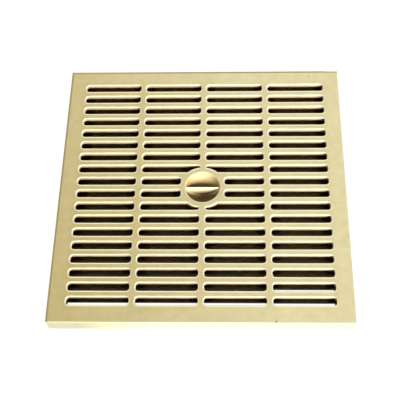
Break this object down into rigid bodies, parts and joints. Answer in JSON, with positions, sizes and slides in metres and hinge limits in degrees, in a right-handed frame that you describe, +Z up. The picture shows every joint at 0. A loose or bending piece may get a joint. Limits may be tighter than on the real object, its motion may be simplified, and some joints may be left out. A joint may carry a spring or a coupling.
{
  "type": "drain grate",
  "caption": "Square moulded plastic drain grate with rows of slots, a skirt, crossed ribs below and a round finger grip in the middle.",
  "frame": {"origin": "middle of the square base, on the surface that the skirt rests on", "axes": "+Z up out of the slotted face, +X along the slots, +Y across them"},
  "size_m": [0.3, 0.3, 0.02],
  "materials": {
    "sand_plastic": "satin, as moulded"
  },
  "bodies": {
    "root": {"grate": "sand_plastic"}
  },
  "joints": []
}
